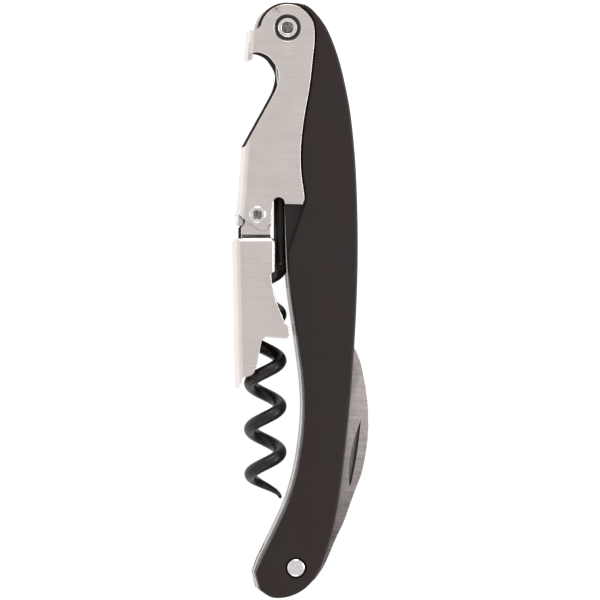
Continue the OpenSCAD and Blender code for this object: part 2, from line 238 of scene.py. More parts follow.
def take(piece):
    """Makes a piece the one that operators work on."""
    nothing_selected()
    piece.select_set(True)
    bpy.context.view_layer.objects.active = piece


def outward(piece):
    """Turns every face outwards."""
    take(piece)
    bpy.ops.object.mode_set(mode="EDIT")
    bpy.ops.mesh.select_all(action="SELECT")
    bpy.ops.mesh.normals_make_consistent(inside=False)
    bpy.ops.object.mode_set(mode="OBJECT")


def flat_piece(name, outline, low, high):
    """A plate: a ring of points drawn to the outline, filled, and extruded upwards."""
    nothing_selected()
    bpy.ops.mesh.primitive_circle_add(vertices=len(outline), radius=1, fill_type="NGON")
    piece = named(name)
    for vertex, (x, y) in zip(piece.data.vertices, outline):
        vertex.co = (x, y, low)
    bpy.ops.object.mode_set(mode="EDIT")
    bpy.ops.mesh.select_all(action="SELECT")
    bpy.ops.mesh.extrude_region_move(TRANSFORM_OT_translate={"value": (0, 0, high - low)})
    outward(piece)
    return piece


def side_piece(name, profile, left, right):
    """A bar: an outline of (y, z) points extruded across the tool from x left to right."""
    nothing_selected()
    bpy.ops.mesh.primitive_circle_add(vertices=len(profile), radius=1, fill_type="NGON")
    piece = named(name)
    for vertex, (y, z) in zip(piece.data.vertices, profile):
        vertex.co = (left, y, z)
    bpy.ops.object.mode_set(mode="EDIT")
    bpy.ops.mesh.select_all(action="SELECT")
    bpy.ops.mesh.extrude_region_move(TRANSFORM_OT_translate={"value": (right - left, 0, 0)})
    outward(piece)
    return piece


def strip_piece(name, left, right, rows, columns, top, bottom):
    """A shell between two paths that meet at both ends. top and bottom give its heights.

    A grid is stretched between the paths, extruded, and its two faces are set to their heights.
    Columns crowd towards both paths, so that the rounding there is smooth.
    """
    nothing_selected()
    bpy.ops.mesh.primitive_grid_add(x_subdivisions=columns, y_subdivisions=rows, size=1)
    piece = named(name)
    a, b = resampled(left, rows), resampled(right, rows)
    across = [(1 - math.cos(math.pi * k / columns)) / 2 for k in range(columns + 1)]
    flat = np.array([a[i] + (b[i] - a[i]) * u for i in range(rows + 1) for u in across])
    for vertex, (x, y) in zip(piece.data.vertices, flat):
        vertex.co = (x, y, SLOT)
    count = len(piece.data.vertices)
    bpy.ops.object.mode_set(mode="EDIT")
    bpy.ops.mesh.select_all(action="SELECT")
    bpy.ops.mesh.extrude_region_move(TRANSFORM_OT_translate={"value": (0, 0, 1)})
    bpy.ops.object.mode_set(mode="OBJECT")
    lifted = list(piece.data.vertices)[count:]
    spots = np.array([(vertex.co.x, vertex.co.y) for vertex in lifted])
    for vertex, height in zip(lifted, top(spots)):
        vertex.co.z = height
    for vertex, height in zip(list(piece.data.vertices)[:count], bottom(flat)):
        vertex.co.z = height
    take(piece)
    bpy.ops.object.mode_set(mode="EDIT")
    bpy.ops.mesh.select_all(action="SELECT")
    bpy.ops.mesh.remove_doubles(threshold=0.002)
    outward(piece)
    return piece


def turned(name, spot, rings):
    """A turned piece: a disc, extruded and resized ring by ring along rings of (radius, z)."""
    nothing_selected()
    radius, z = rings[0]
    bpy.ops.mesh.primitive_circle_add(vertices=64, radius=radius, fill_type="NGON")
    piece = named(name)
    for vertex in piece.data.vertices:
        vertex.co += Vector((*spot, z))
    bpy.ops.object.mode_set(mode="EDIT")
    bpy.ops.mesh.select_all(action="SELECT")
    for wide, high in rings[1:]:
        bpy.ops.mesh.extrude_region_move(TRANSFORM_OT_translate={"value": (0, 0, high - z)})
        ratio = wide / radius
        bpy.ops.transform.resize(value=(ratio, ratio, 1), center_override=(*spot, high))
        radius, z = wide, high
    outward(piece)
    return piece


def apply_modifier(piece, kind, **settings):
    take(piece)
    modifier = piece.modifiers.new(kind.title(), kind)
    for key, value in settings.items():
        setattr(modifier, key, value)
    bpy.ops.object.modifier_apply(modifier=modifier.name)


def carve(piece, tool, operation="DIFFERENCE"):
    """Cuts one solid with another, or joins or crosses them, and uses the tool up."""
    apply_modifier(piece, "BOOLEAN", operation=operation, solver="EXACT", object=tool)
    bpy.data.objects.remove(tool)


def break_edges(piece, width, segments, angle=40):
    """Rounds the edges that are sharper than the angle."""
    apply_modifier(piece, "BEVEL", width=width, segments=segments, limit_method="ANGLE",
                   angle_limit=math.radians(angle), use_clamp_overlap=True)


SHORT_EDGE = 0.02
SHARP_ANGLE = math.radians(25)


def round_chosen(piece, chosen, width, segments):
    """Merges ends of very short edges, then rounds the sharp edges whose ends pass the test."""
    take(piece)
    bpy.ops.object.mode_set(mode="EDIT")
    bpy.ops.mesh.select_mode(type="EDGE")
    bpy.ops.mesh.select_all(action="SELECT")
    bpy.ops.mesh.remove_doubles(threshold=SHORT_EDGE)
    bpy.ops.mesh.select_all(action="DESELECT")
    bpy.ops.mesh.edges_select_sharp(sharpness=SHARP_ANGLE)
    bpy.ops.object.mode_set(mode="OBJECT")
    sharp = [edge.select for edge in piece.data.edges]
    spots = [vertex.co for vertex in piece.data.vertices]
    for vertex in piece.data.vertices:
        vertex.select = False
    for face in piece.data.polygons:
        face.select = False
    for edge, is_sharp in zip(piece.data.edges, sharp):
        edge.select = is_sharp and chosen(spots[edge.vertices[0]], spots[edge.vertices[1]])
    bpy.ops.object.mode_set(mode="EDIT")
    bpy.ops.mesh.bevel(offset=width, segments=segments, affect="EDGES", clamp_overlap=False)
    bpy.ops.object.mode_set(mode="OBJECT")


def second_finish(piece, finish, chosen):
    """Gives another material to the faces whose centre and normal the test accepts."""
    piece.data.materials.append(finish)
    for face in piece.data.polygons:
        if chosen(face.center / MM - Vector(ORIGIN), face.normal):
            face.material_index = len(piece.data.materials) - 1


def drill(piece, spot, radius, low=-7, high=7):
    carve(piece, turned("drill", spot, [(radius, low), (radius, high)]))


def flipped(piece, name):
    """A copy of a piece on the other side of the middle plane."""
    take(piece)
    bpy.ops.object.duplicate()
    twin = named(name)
    for vertex in twin.data.vertices:
        vertex.co.z = -vertex.co.z
    outward(twin)
    return twin


def finished(piece, body, slot, finish, *nodes, angle=35):
    """Shades a piece, splits its faces into triangles, sets it in its place, in metres, and says
    its material, body and CAD nodes."""
    take(piece)
    bpy.ops.object.shade_smooth_by_angle(angle=math.radians(angle))
    apply_modifier(piece, "WEIGHTED_NORMAL", keep_sharp=True)
    apply_modifier(piece, "TRIANGULATE", keep_custom_normals=True)
    for vertex in piece.data.vertices:
        vertex.co = place(*vertex.co)
    piece.data.materials.clear()
    piece.data.materials.append(finish)
    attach(piece, body)
    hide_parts(*nodes)


# ---------- materials ----------

class Value:
    """A shader socket that Python's operators do sums on."""

    def __init__(self, finish, socket):
        self.finish = finish
        self.socket = socket

    def sum(self, operation, first, second):
        return self.finish.add("ShaderNodeMath", {"operation": operation}, {0: first, 1: second})

    def __add__(self, other):
        return self.sum("ADD", self, other)

    def __sub__(self, other):
        return self.sum("SUBTRACT", self, other)

    def __mul__(self, other):
        return self.sum("MULTIPLY", self, other)

    def __rsub__(self, other):
        return self.sum("SUBTRACT", other, self)

    __radd__ = __add__
    __rmul__ = __mul__


class Finish:
    """A material. add makes one node: its settings are set first, then its sockets."""

    def __init__(self, name):
        self.material = bpy.data.materials.new(name)
        self.material.use_nodes = True
        self.tree = self.material.node_tree
        self.surface = self.tree.nodes["Principled BSDF"]

    def feed(self, socket, value):
        if isinstance(value, Value):
            self.tree.links.new(value.socket, socket)
        else:
            socket.default_value = value

    def add(self, kind, settings=None, sockets=None, output=0):
        node = self.tree.nodes.new(kind)
        for key, value in (settings or {}).items():
            if key == "stops":
                for stop, (position, colour) in zip(node.color_ramp.elements, value):
                    stop.position = position
                    stop.color = colour
            else:
                setattr(node, key, value)
        for key, value in (sockets or {}).items():
            self.feed(node.inputs[key], value)
        return Value(self, node.outputs[output])

    def grain(self, across, detail=3.0, turn=(0, 0, 0)):
        """Noise from 0 to 1 whose marks repeat this many times per millimetre along x, y, z."""
        spot = self.add("ShaderNodeTexCoord", output="Object")
        stretched = self.add("ShaderNodeMapping", {}, {
            "Vector": spot, "Rotation": turn, "Scale": [per_mm / MM for per_mm in across]})
        return self.add("ShaderNodeTexNoise", {}, {
            "Vector": stretched, "Scale": 1.0, "Detail": detail, "Roughness": 0.6})

    def spread(self, value, low, high, start=0.3, end=0.7):
        """A value moved from the range start to end into the range low to high."""
        return self.add("ShaderNodeMapRange", {}, {
            "Value": value, "From Min": start, "From Max": end, "To Min": low, "To Max": high})

    def colours(self, factor, first, second):
        """A colour between the first and the second."""
        return self.add("ShaderNodeMix", {"data_type": "RGBA"}, {
            0: factor, 6: (*first, 1), 7: (*second, 1)}, output=2)

    def near(self, spot, radius, soft):
        """1 within a radius of an upright axis through the spot, and 0 past a soft border."""
        point = self.add("ShaderNodeTexCoord", output="Object")
        level = self.add("ShaderNodeVectorMath", {"operation": "MULTIPLY"}, {
            0: point, 1: (1, 1, 0)})
        centre = place(*spot)
        away = self.add("ShaderNodeVectorMath", {"operation": "DISTANCE"}, {
            0: level, 1: (centre.x, centre.y, 0)}, output="Value")
        return self.spread(away, 1, 0, radius * MM, (radius + soft) * MM)

    def along(self, start, end):
        """0 up to one y of the drawing, 1 from another."""
        point = self.add("ShaderNodeTexCoord", output="Object")
        y = self.add("ShaderNodeSeparateXYZ", {}, {0: point}, output="Y")
        return self.spread(y, 0, 1, place(0, start).y, place(0, end).y)

    def relief(self, height, depth):
        """Small relief, depth in millimetres."""
        bump = self.add("ShaderNodeBump", {}, {
            "Height": height, "Distance": depth * MM, "Strength": 1.0}, output="Normal")
        self.feed(self.surface.inputs["Normal"], bump)

    def set(self, **sockets):
        for key, value in sockets.items():
            self.feed(self.surface.inputs[key.replace("_", " ")], value)
        return self.material


SMUDGE = (-4.9, 58.1)


def lever_sheet():
    """Stainless sheet brushed across the tool, with painted shade in the dish of the head rivet."""
    finish = Finish("lever_steel")
    fine = finish.grain((0.1, 11, 11), 4)
    broad = finish.grain((0.04, 1.6, 1.6), 2)
    clouds = finish.grain((0.2, 0.2, 0.2), 2)
    specks = finish.grain((2.2, 2.2, 2.2), 3)
    streaks = fine * 0.75 + broad * 0.25
    # Painted shade: the dish round the head rivet is coloured near black, as the shade that falls
    # in it.
    dish_shade = finish.near(HEAD_PIVOT, 2.5, 0.2)
    smudge = finish.near(SMUDGE, 0.2, 0.9) * finish.spread(specks, 0, 0.8, 0.45, 0.6)
    shade_and_smudge = dish_shade.sum("MAXIMUM", dish_shade, smudge)
    finish.relief(streaks, 0.003)
    tone = finish.spread(streaks * 0.6 + clouds * 0.4, 0, 1, 0.32, 0.68)
    sheet = finish.colours(tone, (0.655, 0.595, 0.565), (0.76, 0.70, 0.665))
    # The near-black colour is painted shade in the dish, and also the colour of the speckled smudge
    # near the top of the head.
    colour = finish.add("ShaderNodeMix", {"data_type": "RGBA"}, {
        0: shade_and_smudge, 6: sheet, 7: (0.05, 0.045, 0.043, 1)}, output=2)
    return finish.set(Base_Color=colour, Metallic=1.0, Roughness=finish.spread(fine, 0.26, 0.38))


def brushed_sheet(name, light, dark, rough):
    """Plain steel sheet with fine marks along its edges."""
    finish = Finish(name)
    fine = finish.grain((7, 0.3, 7), 4)
    clouds = finish.grain((0.4, 0.1, 0.4), 2)
    finish.relief(fine, 0.003)
    tone = finish.spread(fine * 0.5 + clouds * 0.5, 0, 1)
    return finish.set(
        Base_Color=finish.colours(tone, dark, light), Metallic=1.0,
        Roughness=finish.spread(fine, rough[0], rough[1]))


def dark_shade_finish():
    """Dark mottled steel, painted shade: the inside of a fold and other hollows, coloured dark as
    the shade that falls in them.
    """
    finish = Finish("dark_shade_finish")
    mottle = finish.grain((3, 3, 3), 4)
    finish.relief(mottle, 0.01)
    tone = finish.spread(mottle, 0, 1)
    return finish.set(
        Base_Color=finish.colours(tone, (0.05, 0.045, 0.043), (0.12, 0.108, 0.103)),
        Metallic=finish.spread(mottle, 0.6, 0.9), Roughness=finish.spread(mottle, 0.45, 0.65))


def ground_blade():
    """Blade steel with coarse grinding marks from back to edge, with painted shade that darkens it
    towards the tang.
    """
    finish = Finish("ground_blade")
    marks = finish.grain((0.3, 6, 6), 5, (0, 0, math.radians(12)))
    scores = finish.grain((0.12, 1.8, 1.8), 3, (0, 0, math.radians(8)))
    clouds = finish.grain((0.5, 0.25, 0.5), 2)
    streaks = marks * 0.6 + scores * 0.4
    finish.relief(streaks, 0.012)
    tone = finish.spread(streaks * 0.75 + clouds * 0.25, 0, 1, 0.36, 0.64)
    lit_blade = finish.colours(tone, (0.40, 0.36, 0.35), (0.66, 0.60, 0.575))
    shaded_blade = finish.colours(tone, (0.10, 0.088, 0.084), (0.30, 0.265, 0.255))
    # Painted shade: the blade's colour darkens from y -22 down to y -48, towards the tang, as the
    # light falls off there.
    colour = finish.add("ShaderNodeMix", {"data_type": "RGBA"}, {
        0: finish.along(-48, -22), 6: shaded_blade, 7: lit_blade}, output=2)
    return finish.set(Base_Color=colour, Metallic=1.0, Roughness=finish.spread(streaks, 0.3, 0.5))


def shaded_nick_floor():
    """The milled floor of the nail nick, with marks along it, painted mid grey as the shade that
    falls in the nick.
    """
    finish = Finish("shaded_nick_floor")
    marks = finish.grain((6, 0.5, 6), 3)
    finish.relief(marks, 0.006)
    tone = finish.spread(marks, 0, 1)
    return finish.set(
        Base_Color=finish.colours(tone, (0.085, 0.076, 0.068), (0.17, 0.155, 0.14)), Metallic=0.9,
        Roughness=finish.spread(marks, 0.4, 0.55))


def satin_cover():
    """Soft satin plastic, nearly black, in places a little brown or a little green."""
    finish = Finish("satin_cover")
    pores = finish.grain((14, 14, 14), 2)
    clouds = finish.grain((0.12, 0.045, 0.12), 3)
    rubbed = finish.grain((0.5, 0.5, 0.5), 4)
    finish.relief(pores, 0.003)
    tone = finish.spread(clouds, 0, 1, 0.35, 0.65)
    return finish.set(
        Base_Color=finish.colours(tone, (0.0165, 0.0118, 0.0105), (0.0205, 0.0098, 0.0092)),
        Roughness=finish.spread(pores * 0.4 + rubbed * 0.6, 0.42, 0.54), Specular_IOR_Level=0.3)


def coated_wire():
    """Black low-friction coating, with a slightly rippled gloss."""
    finish = Finish("coated_wire")
    ripple = finish.grain((1.2, 1.2, 1.2), 3)
    scuffs = finish.grain((5, 1.2, 5), 4)
    finish.relief(ripple, 0.012)
    tone = finish.spread(scuffs, 0, 1, 0.45, 0.7)
    return finish.set(
        Base_Color=finish.colours(tone, (0.009, 0.0075, 0.007), (0.022, 0.016, 0.0145)),
        Roughness=finish.spread(scuffs, 0.28, 0.42), Specular_IOR_Level=0.35)


def polished(name, light, dark, rough, *dull_spots):
    """Turned metal, polished, duller within the given (spot, radius) circles."""
    finish = Finish(name)
    marks = finish.grain((2.5, 2.5, 2.5), 4)
    fine = finish.grain((14, 14, 14), 2)
    finish.relief(fine, 0.002)
    tone = finish.spread(marks, 0, 1)
    colour = finish.colours(tone, dark, light)
    mottled = finish.colours(finish.spread(marks, 0, 1, 0.4, 0.62), (0.12, 0.105, 0.1),
                             (0.36, 0.33, 0.31))
    for spot, radius in dull_spots:
        colour = finish.add("ShaderNodeMix", {"data_type": "RGBA"}, {
            0: finish.near(spot, radius, 0.12), 6: colour, 7: mottled}, output=2)
    return finish.set(Base_Color=colour, Metallic=1.0,
                      Roughness=finish.spread(marks, rough[0], rough[1]))


lever_steel = lever_sheet()
# Painted shade: dark steel for the faces inside the levers' folds, on the tongues' steps and on the
# nail nick's walls.
hollow_shade_steel = dark_shade_finish()
liner_steel = brushed_sheet("liner_steel", (0.84, 0.80, 0.77), (0.7, 0.66, 0.63), (0.2, 0.3))
spring_steel = brushed_sheet("spring_steel", (0.34, 0.31, 0.34), (0.2, 0.18, 0.2), (0.3, 0.4))
blade_steel = ground_blade()
# Painted shade: mid grey for the floor of the nail nick.
nick_shade_steel = shaded_nick_floor()
cover_plastic = satin_cover()
worm_coating = coated_wire()
rivet_steel = polished("rivet_steel", (0.88, 0.86, 0.85), (0.76, 0.74, 0.73), (0.12, 0.22),
                       (HEAD_PIVOT, 1.1), (KNUCKLE_PIVOT, 0.82))
worn_brass = polished("worn_brass", (0.78, 0.6, 0.3), (0.62, 0.46, 0.22), (0.22, 0.34))


# ---------- handle ----------

RIM_R = 0.5
CROWN = 0.15
CROWN_REACH = 5.0
STEP_END_Y = 8.4
LAP = 1.2
TAIL_TIP = (-4.6, -59.66)
RIVET_SEAT_R = 2.15
RIVET_SEAT_DEPTH = 0.9
STRIP_BREAK = 0.12
SPRING_WIDTH = 2.8
SPACER_INSET = 0.25
SPACER_WIDTH = 3.4


def crowned(boundary, top, radius, crown):
    """Heights of a face with a rounded rim and a soft crown, from the distance to its boundary."""
    def heights(spots):
        d = distance_to(boundary, spots)
        rim = radius - np.sqrt(np.maximum(radius ** 2 - np.clip(radius - d, 0, radius) ** 2, 0))
        sag = crown * (1 - np.clip(d / CROWN_REACH, 0, 1)) ** 2
        return top - rim - sag
    return heights


def level(height):
    """The same height everywhere."""
    return lambda spots: np.full(len(spots), float(height))


def make_covers():
    """Each cover: a low plate under the lever, and the raised part beside it."""
    tail_left = [TAIL_TIP] + [p for p in outer_side[-8:] if p[0] < TAIL_TIP[0]]
    left = tail_left + [p for p in inner_side if p[1] < STEP_END_Y] + step_line[::-1]
    right = [TAIL_TIP] + [p for p in outer_side[::-1] if p[0] > TAIL_TIP[0]
                          and p != outer_side[0]
                          and not (p[1] > 50 and p[0] < 0.3)] + [step_line[0]]
    boundary = left + right[::-1]
    raised = strip_piece("front_cover_plate", left, right, 150, 24,
                         crowned(boundary, FACE, RIM_R, CROWN), level(LINER_TOP))
    low_part = flat_piece("low_part", cover_outline, LINER_TOP, RECESS_TOP)
    past_step = [(x + LAP, y) for x, y in step_line[14:-1]]
    area = flat_piece("area", [(LAP, 62), (LAP, 59)] + arc(LEVER_HEAD, 6.6, 50, 0, 12) + past_step
                      + [(-LAP, 7.6), (-14, 7.6), (-14, 62)], LINER_TOP - 1, FACE)
    carve(low_part, area, "INTERSECT")
    break_edges(low_part, 0.35, 3)
    carve(raised, low_part, "UNION")
    drill(raised, TAIL_PIVOT, RIVET_SEAT_R, FACE - RIVET_SEAT_DEPTH, FACE + 1)
    drill(raised, TAIL_PIVOT, TAIL_RIVET_R)
    drill(raised, HEAD_PIVOT, HEAD_RIVET_R)
    rear = flipped(raised, "rear_cover_plate")
    finished(raised, "handle", "cover", cover_plastic, "front_cover")
    finished(rear, "handle", "cover", cover_plastic, "rear_cover")


def make_liners():
    """The steel plates under the covers, drilled for their rivets and the worm's pin."""
    front = flat_piece("front_liner_plate", liner_outline, SLOT, LINER_TOP)
    for spot, radius in ((HEAD_PIVOT, HEAD_RIVET_R), (TAIL_PIVOT, TAIL_RIVET_R),
                         (WORM_PIVOT, WORM_PIN_R)):
        drill(front, spot, radius)
    break_edges(front, STRIP_BREAK, 2)
    rear = flipped(front, "rear_liner_plate")
    finished(front, "handle", "liner_steel", liner_steel, "front_liner")
    finished(rear, "handle", "liner_steel", liner_steel, "rear_liner")


def make_inner_strips():
    """The slip spring along the hollow side and the spacer that closes the back."""
    edge = between_y(liner_side, -49.5, 2.6)
    spring = flat_piece("back_spring_strip", edge + beside(edge, SPRING_WIDTH)[::-1],
                        -SLOT, SLOT)
    break_edges(spring, STRIP_BREAK, 2)
    finished(spring, "handle", "spring_steel", spring_steel, "back_spring")
    edge = between_y(outer_side, -4.5, 52)
    spacer = flat_piece(
        "spine_spacer_strip",
        beside(edge, SPACER_INSET) + beside(edge, SPACER_INSET + SPACER_WIDTH)[::-1],
        -SLOT, SLOT)
    break_edges(spacer, STRIP_BREAK, 2)
    finished(spacer, "handle", "spring_steel", spring_steel, "spine_spacer")


def mirrored_rings(rings):
    """Rings of (radius, z) for a turned piece that is the same on both sides of the middle."""
    return [(radius, -z) for radius, z in rings[::-1]] + rings


def make_rivets():
    head = turned("head_rivet_turned", HEAD_PIVOT, mirrored_rings([
        (HEAD_RIVET_R, 0.01), (HEAD_RIVET_R, 5.33), (1.8, 5.34), (1.9, 5.4), (1.91, 5.46),
        (1.86, 5.5), (1.6, 5.4), (1.52, 5.4), (1.49, 5.54), (1.42, 5.64), (1.32, 5.67),
        (1.22, 5.62), (1.15, 5.5), (1.12, 5.1), (1.0, 5.0), (0.5, 4.96)]))
    finished(head, "handle", "rivet_steel", rivet_steel, "head_rivet")
    knuckle = turned("knuckle_rivet_turned", KNUCKLE_PIVOT, mirrored_rings([
        (KNUCKLE_RIVET_R, 0.01), (KNUCKLE_RIVET_R, 5.6), (1.7, 5.61), (1.75, 5.66),
        (1.72, 5.76), (1.58, 5.88), (1.36, 5.96), (1.14, 5.98), (1.02, 5.96), (0.95, 5.88),
        (0.88, 5.66), (0.75, 5.6), (0.4, 5.58)]))
    finished(knuckle, "lever", "rivet_steel", rivet_steel, "knuckle_rivet")
    tail = turned("tail_rivet_turned", TAIL_PIVOT, mirrored_rings([
        (TAIL_RIVET_R, 0.01), (TAIL_RIVET_R, 5.14), (1.86, 5.15), (1.93, 5.22), (1.95, 5.4),
        (1.88, 5.6), (1.7, 5.78), (1.4, 5.9), (1.05, 5.95), (0.8, 5.94), (0.5, 5.86),
        (0.2, 5.8)]))
    finished(tail, "handle", "rivet_steel", rivet_steel, "tail_rivet")


# ---------- levers ----------

BEND_R = 1.3
EDGE_R = 0.2
ROLL_R = 0.9
ROLL_PROUD = 0.005
ROLL_END_Y = 4.6
WEB_CLEAR = -15
UPPER_GAPS = ((12, 17.2), (30.7, 48.7))
FOOT_HALF = 3.2
HOOK_HALF = CHEEK_IN + 0.3
DISH = ((2.1, 5.2), (2.45, 5.22), (2.6, 5.32), (2.65, 5.44), (2.72, 5.54), (2.86, 5.61), (2.9, 6))

# The tongue starts a little under the cheek's face, and steps down over this length.
TONGUE_DROP = 0.15
STEP_START_Y = 12.1
STEP_LENGTH = 1.0


def on_face(a, b):
    """Chooses the outline's edges on both outer faces."""
    return abs(abs(a.z) - CHEEK_OUT) < 0.01 and abs(a.z - b.z) < 0.01


def on_step(centre):
    """Chooses the faces where a tongue steps down from its cheek."""
    return 12.4 < centre.y < 13.4 and TONGUE_OUT < abs(centre.z) < CHEEK_OUT - 0.2


def inside_channel(centre, normal):
    """Chooses the faces inside a lever's channel."""
    return abs(centre.z) < CHEEK_IN + 0.02 and normal.z * centre.z < -0.5 * abs(centre.z)


def folded_block(name, outline, web_face):
    """A block with a cheek's outline whose web side is rounded, as a folded sheet is."""
    block = flat_piece(name, outline, -CHEEK_OUT, CHEEK_OUT)
    fold = flat_piece("fold", web_face[::-1] + [(8, 62), (8, -22)], -CHEEK_OUT, CHEEK_OUT)
    round_chosen(fold, lambda a, b: on_face(a, b) and max(a.x, b.x) < -5
                 and abs(a.y - b.y) < 30, BEND_R, 6)
    carve(block, fold, "INTERSECT")
    return block


def channel(web_face, gaps, *ends):
    """The space between a folded sheet's cheeks, which also opens the web at its gaps."""
    rising = web_face[::-1]
    heights = [y for _, y in rising]
    insides = [x + SHEET for x, _ in rising]
    side = [(x, y) for x, y in zip(insides, heights)
            if not any(low <= y <= high for low, high in gaps)]
    for low, high in gaps:
        side.append((np.interp(low, heights, insides), low))
        side.append((WEB_CLEAR, low))
        side.append((WEB_CLEAR, high))
        side.append((np.interp(high, heights, insides), high))
    side.sort(key=lambda point: point[1])
    return flat_piece("channel", side + list(ends), -CHEEK_IN, CHEEK_IN)


def make_upper_lever():
    """A folded sheet with two gaps in its web, and the foot and hook that the web keeps."""
    lever = folded_block("upper_lever_sheet", upper_cheek, upper_web_face)
    round_chosen(lever, on_face, EDGE_R, 3)
    carve(lever, channel(upper_web_face, UPPER_GAPS, (6, 62), (6, 12)))
    carve(lever, flat_piece("foot", foot_outline, -FOOT_HALF, FOOT_HALF), "UNION")
    carve(lever, flat_piece("hook", hook_outline, -HOOK_HALF, HOOK_HALF), "UNION")
    for side in (1, -1):
        carve(lever, turned("dish", HEAD_PIVOT, [(radius, side * z) for radius, z in DISH]))
    drill(lever, HEAD_PIVOT, HEAD_RIVET_R + BORE_GAP)
    drill(lever, KNUCKLE_PIVOT, KNUCKLE_RIVET_R)
    finished(lever, "lever", "lever_steel", lever_steel, "upper_lever")
    # The faces inside the channel get dark steel as painted shade.
    second_finish(lever, hollow_shade_steel, inside_channel)


def make_tongue(side):
    """The end of one cheek, which steps down so that it turns inside the upper lever."""
    fall = []
    start = CHEEK_OUT - TONGUE_DROP
    for t in (i / 8 for i in range(9)):
        ease = 3 * t ** 2 - 2 * t ** 3
        fall.append((STEP_START_Y + STEP_LENGTH * t, start - (start - TONGUE_OUT) * ease))
    rise = [(y - 0.35, z - SHEET) for y, z in fall[::-1]]
    profile = ([(10.9, start)] + fall + [(20, TONGUE_OUT), (20, TONGUE_IN)] + rise
               + [(10.9, CHEEK_IN - TONGUE_DROP)])
    tongue = side_piece("tongue", [(y, side * z) for y, z in profile], -13, -5)
    carve(tongue, flat_piece("tongue_edge", tongue_outline, -7, 7), "INTERSECT")
    return tongue


def make_lower_lever():
    """A folded sheet, rolled over at its top and above its corner, with a tongue at each cheek."""
    lever = folded_block("lower_lever_sheet", lower_cheek, lower_web_face)
    rim = [point for point in lower_cheek if point[0] > -6 and point[1] > 11]
    roll = flat_piece(
        "roll", [(-15, -22), (-15, 12.4)] + rim + [(-5, ROLL_END_Y), (3, ROLL_END_Y), (3, -22)],
        -CHEEK_OUT - ROLL_PROUD, CHEEK_OUT + ROLL_PROUD)
    round_chosen(roll, lambda a, b: on_face(a, b) and min(a.y, b.y) > ROLL_END_Y - 0.1,
                 ROLL_R, 8)
    carve(lever, roll, "INTERSECT")
    carve(lever, channel(lower_web_face, (), (6, 14), (6, -20)))
    for side in (1, -1):
        carve(lever, make_tongue(side), "UNION")
    drill(lever, KNUCKLE_PIVOT, KNUCKLE_RIVET_R + BORE_GAP)
    round_chosen(lever, on_face, EDGE_R, 3)
    finished(lever, "lower_step", "lever_steel", lever_steel, "lower_lever")
    # The faces inside the channel and on the tongues' steps get dark steel as painted shade.
    second_finish(lever, hollow_shade_steel, lambda centre, normal: (
        inside_channel(centre, normal) or on_step(centre)))


# ---------- worm ----------

WIRE_R = 1.3
COIL_R = 3.0
EYE_R = 2.9
PITCH = 9.2
TURNS = 5
COIL_TOP = 6.4
TIP_R = 0.33
SHANK_X = WORM_PIVOT[0] - EYE_R
COIL_X = SHANK_X - COIL_R
LEAD_IN = 30
TAPER = 190


def coil_point(degrees):
    a = math.radians(degrees)
    return np.array((COIL_X + COIL_R * math.cos(a), COIL_TOP - PITCH * degrees / 360,
                     COIL_R * math.sin(a)))


def worm_route():
    """Points along the wire and the wire's radius at each: eye, shank, lead-in, coil and tip."""
    route = []
    for degrees in range(-80, 180, 10):
        a = math.radians(degrees)
        route.append((WORM_PIVOT[0] + EYE_R * math.cos(a), WORM_PIVOT[1] + EYE_R * math.sin(a), 0))
    route += [(SHANK_X, WORM_PIVOT[1] - 2 * i, 0) for i in range(6)]
    start = np.array((SHANK_X, 10.5, 0.0))
    leave = np.array((0, -6.0, 0))
    end = coil_point(LEAD_IN)
    arrive = coil_point(LEAD_IN + 1) - coil_point(LEAD_IN - 1)
    arrive *= 6 / np.linalg.norm(arrive)
    for i in range(12):
        t = i / 12
        route.append(tuple(
            (1 - 3 * t ** 2 + 2 * t ** 3) * start + (3 * t ** 2 - 2 * t ** 3) * end
            + (t - 2 * t ** 2 + t ** 3) * leave + (t ** 3 - t ** 2) * arrive))
    sizes = [WIRE_R] * len(route)
    finish = 360 * TURNS
    for degrees in range(LEAD_IN, finish + 1, 10):
        s = max(0, degrees - finish + TAPER) / TAPER
        route.append(tuple(coil_point(degrees)))
        sizes.append(WIRE_R + (TIP_R - WIRE_R) * s)
    return route, sizes


def make_worm():
    """A round wire along its route, closed at both ends."""
    route, sizes = worm_route()
    nothing_selected()
    bpy.ops.curve.primitive_nurbs_path_add(radius=1)
    wire = bpy.context.active_object
    wire.data.splines.clear()
    spline = wire.data.splines.new("POLY")
    spline.points.add(len(route) - 1)
    for point, spot, size in zip(spline.points, route, sizes):
        point.co = (*spot, 1)
        point.radius = size / WIRE_R
    wire.data.dimensions = "3D"
    wire.data.twist_mode = "MINIMUM"
    wire.data.bevel_depth = WIRE_R
    wire.data.bevel_resolution = 10
    wire.data.use_fill_caps = True
    take(wire)
    bpy.ops.object.convert(target="MESH")
    worm = named("worm_wire")
    bpy.ops.object.mode_set(mode="EDIT")
    bpy.ops.mesh.select_all(action="SELECT")
    bpy.ops.mesh.remove_doubles(threshold=0.001)
    outward(worm)
    break_edges(worm, 0.2, 3, 60)
    finished(worm, "worm", "worm_coating", worm_coating, "worm", angle=50)


# ---------- knife ----------

KNIFE_HALF = 0.9
EDGE_HALF = 0.12
GRIND_WIDTH = 5.5
PLUNGE_LENGTH = 3
NICK_TOP = (12.6, -24)
NICK_LEAN = 0.165
NICK_DEPTH_Z = 0.4
GROOVE_Z = 0.55

groove_outline = [(7.6, -40.35), (10.9, -41.25), (10.9, -41.6), (7.6, -41.3)]


def in_nick(centre):
    return -38 < centre.y < -23.5 and 9.5 < centre.x < 13 and 0 < centre.z < KNIFE_HALF - 0.04


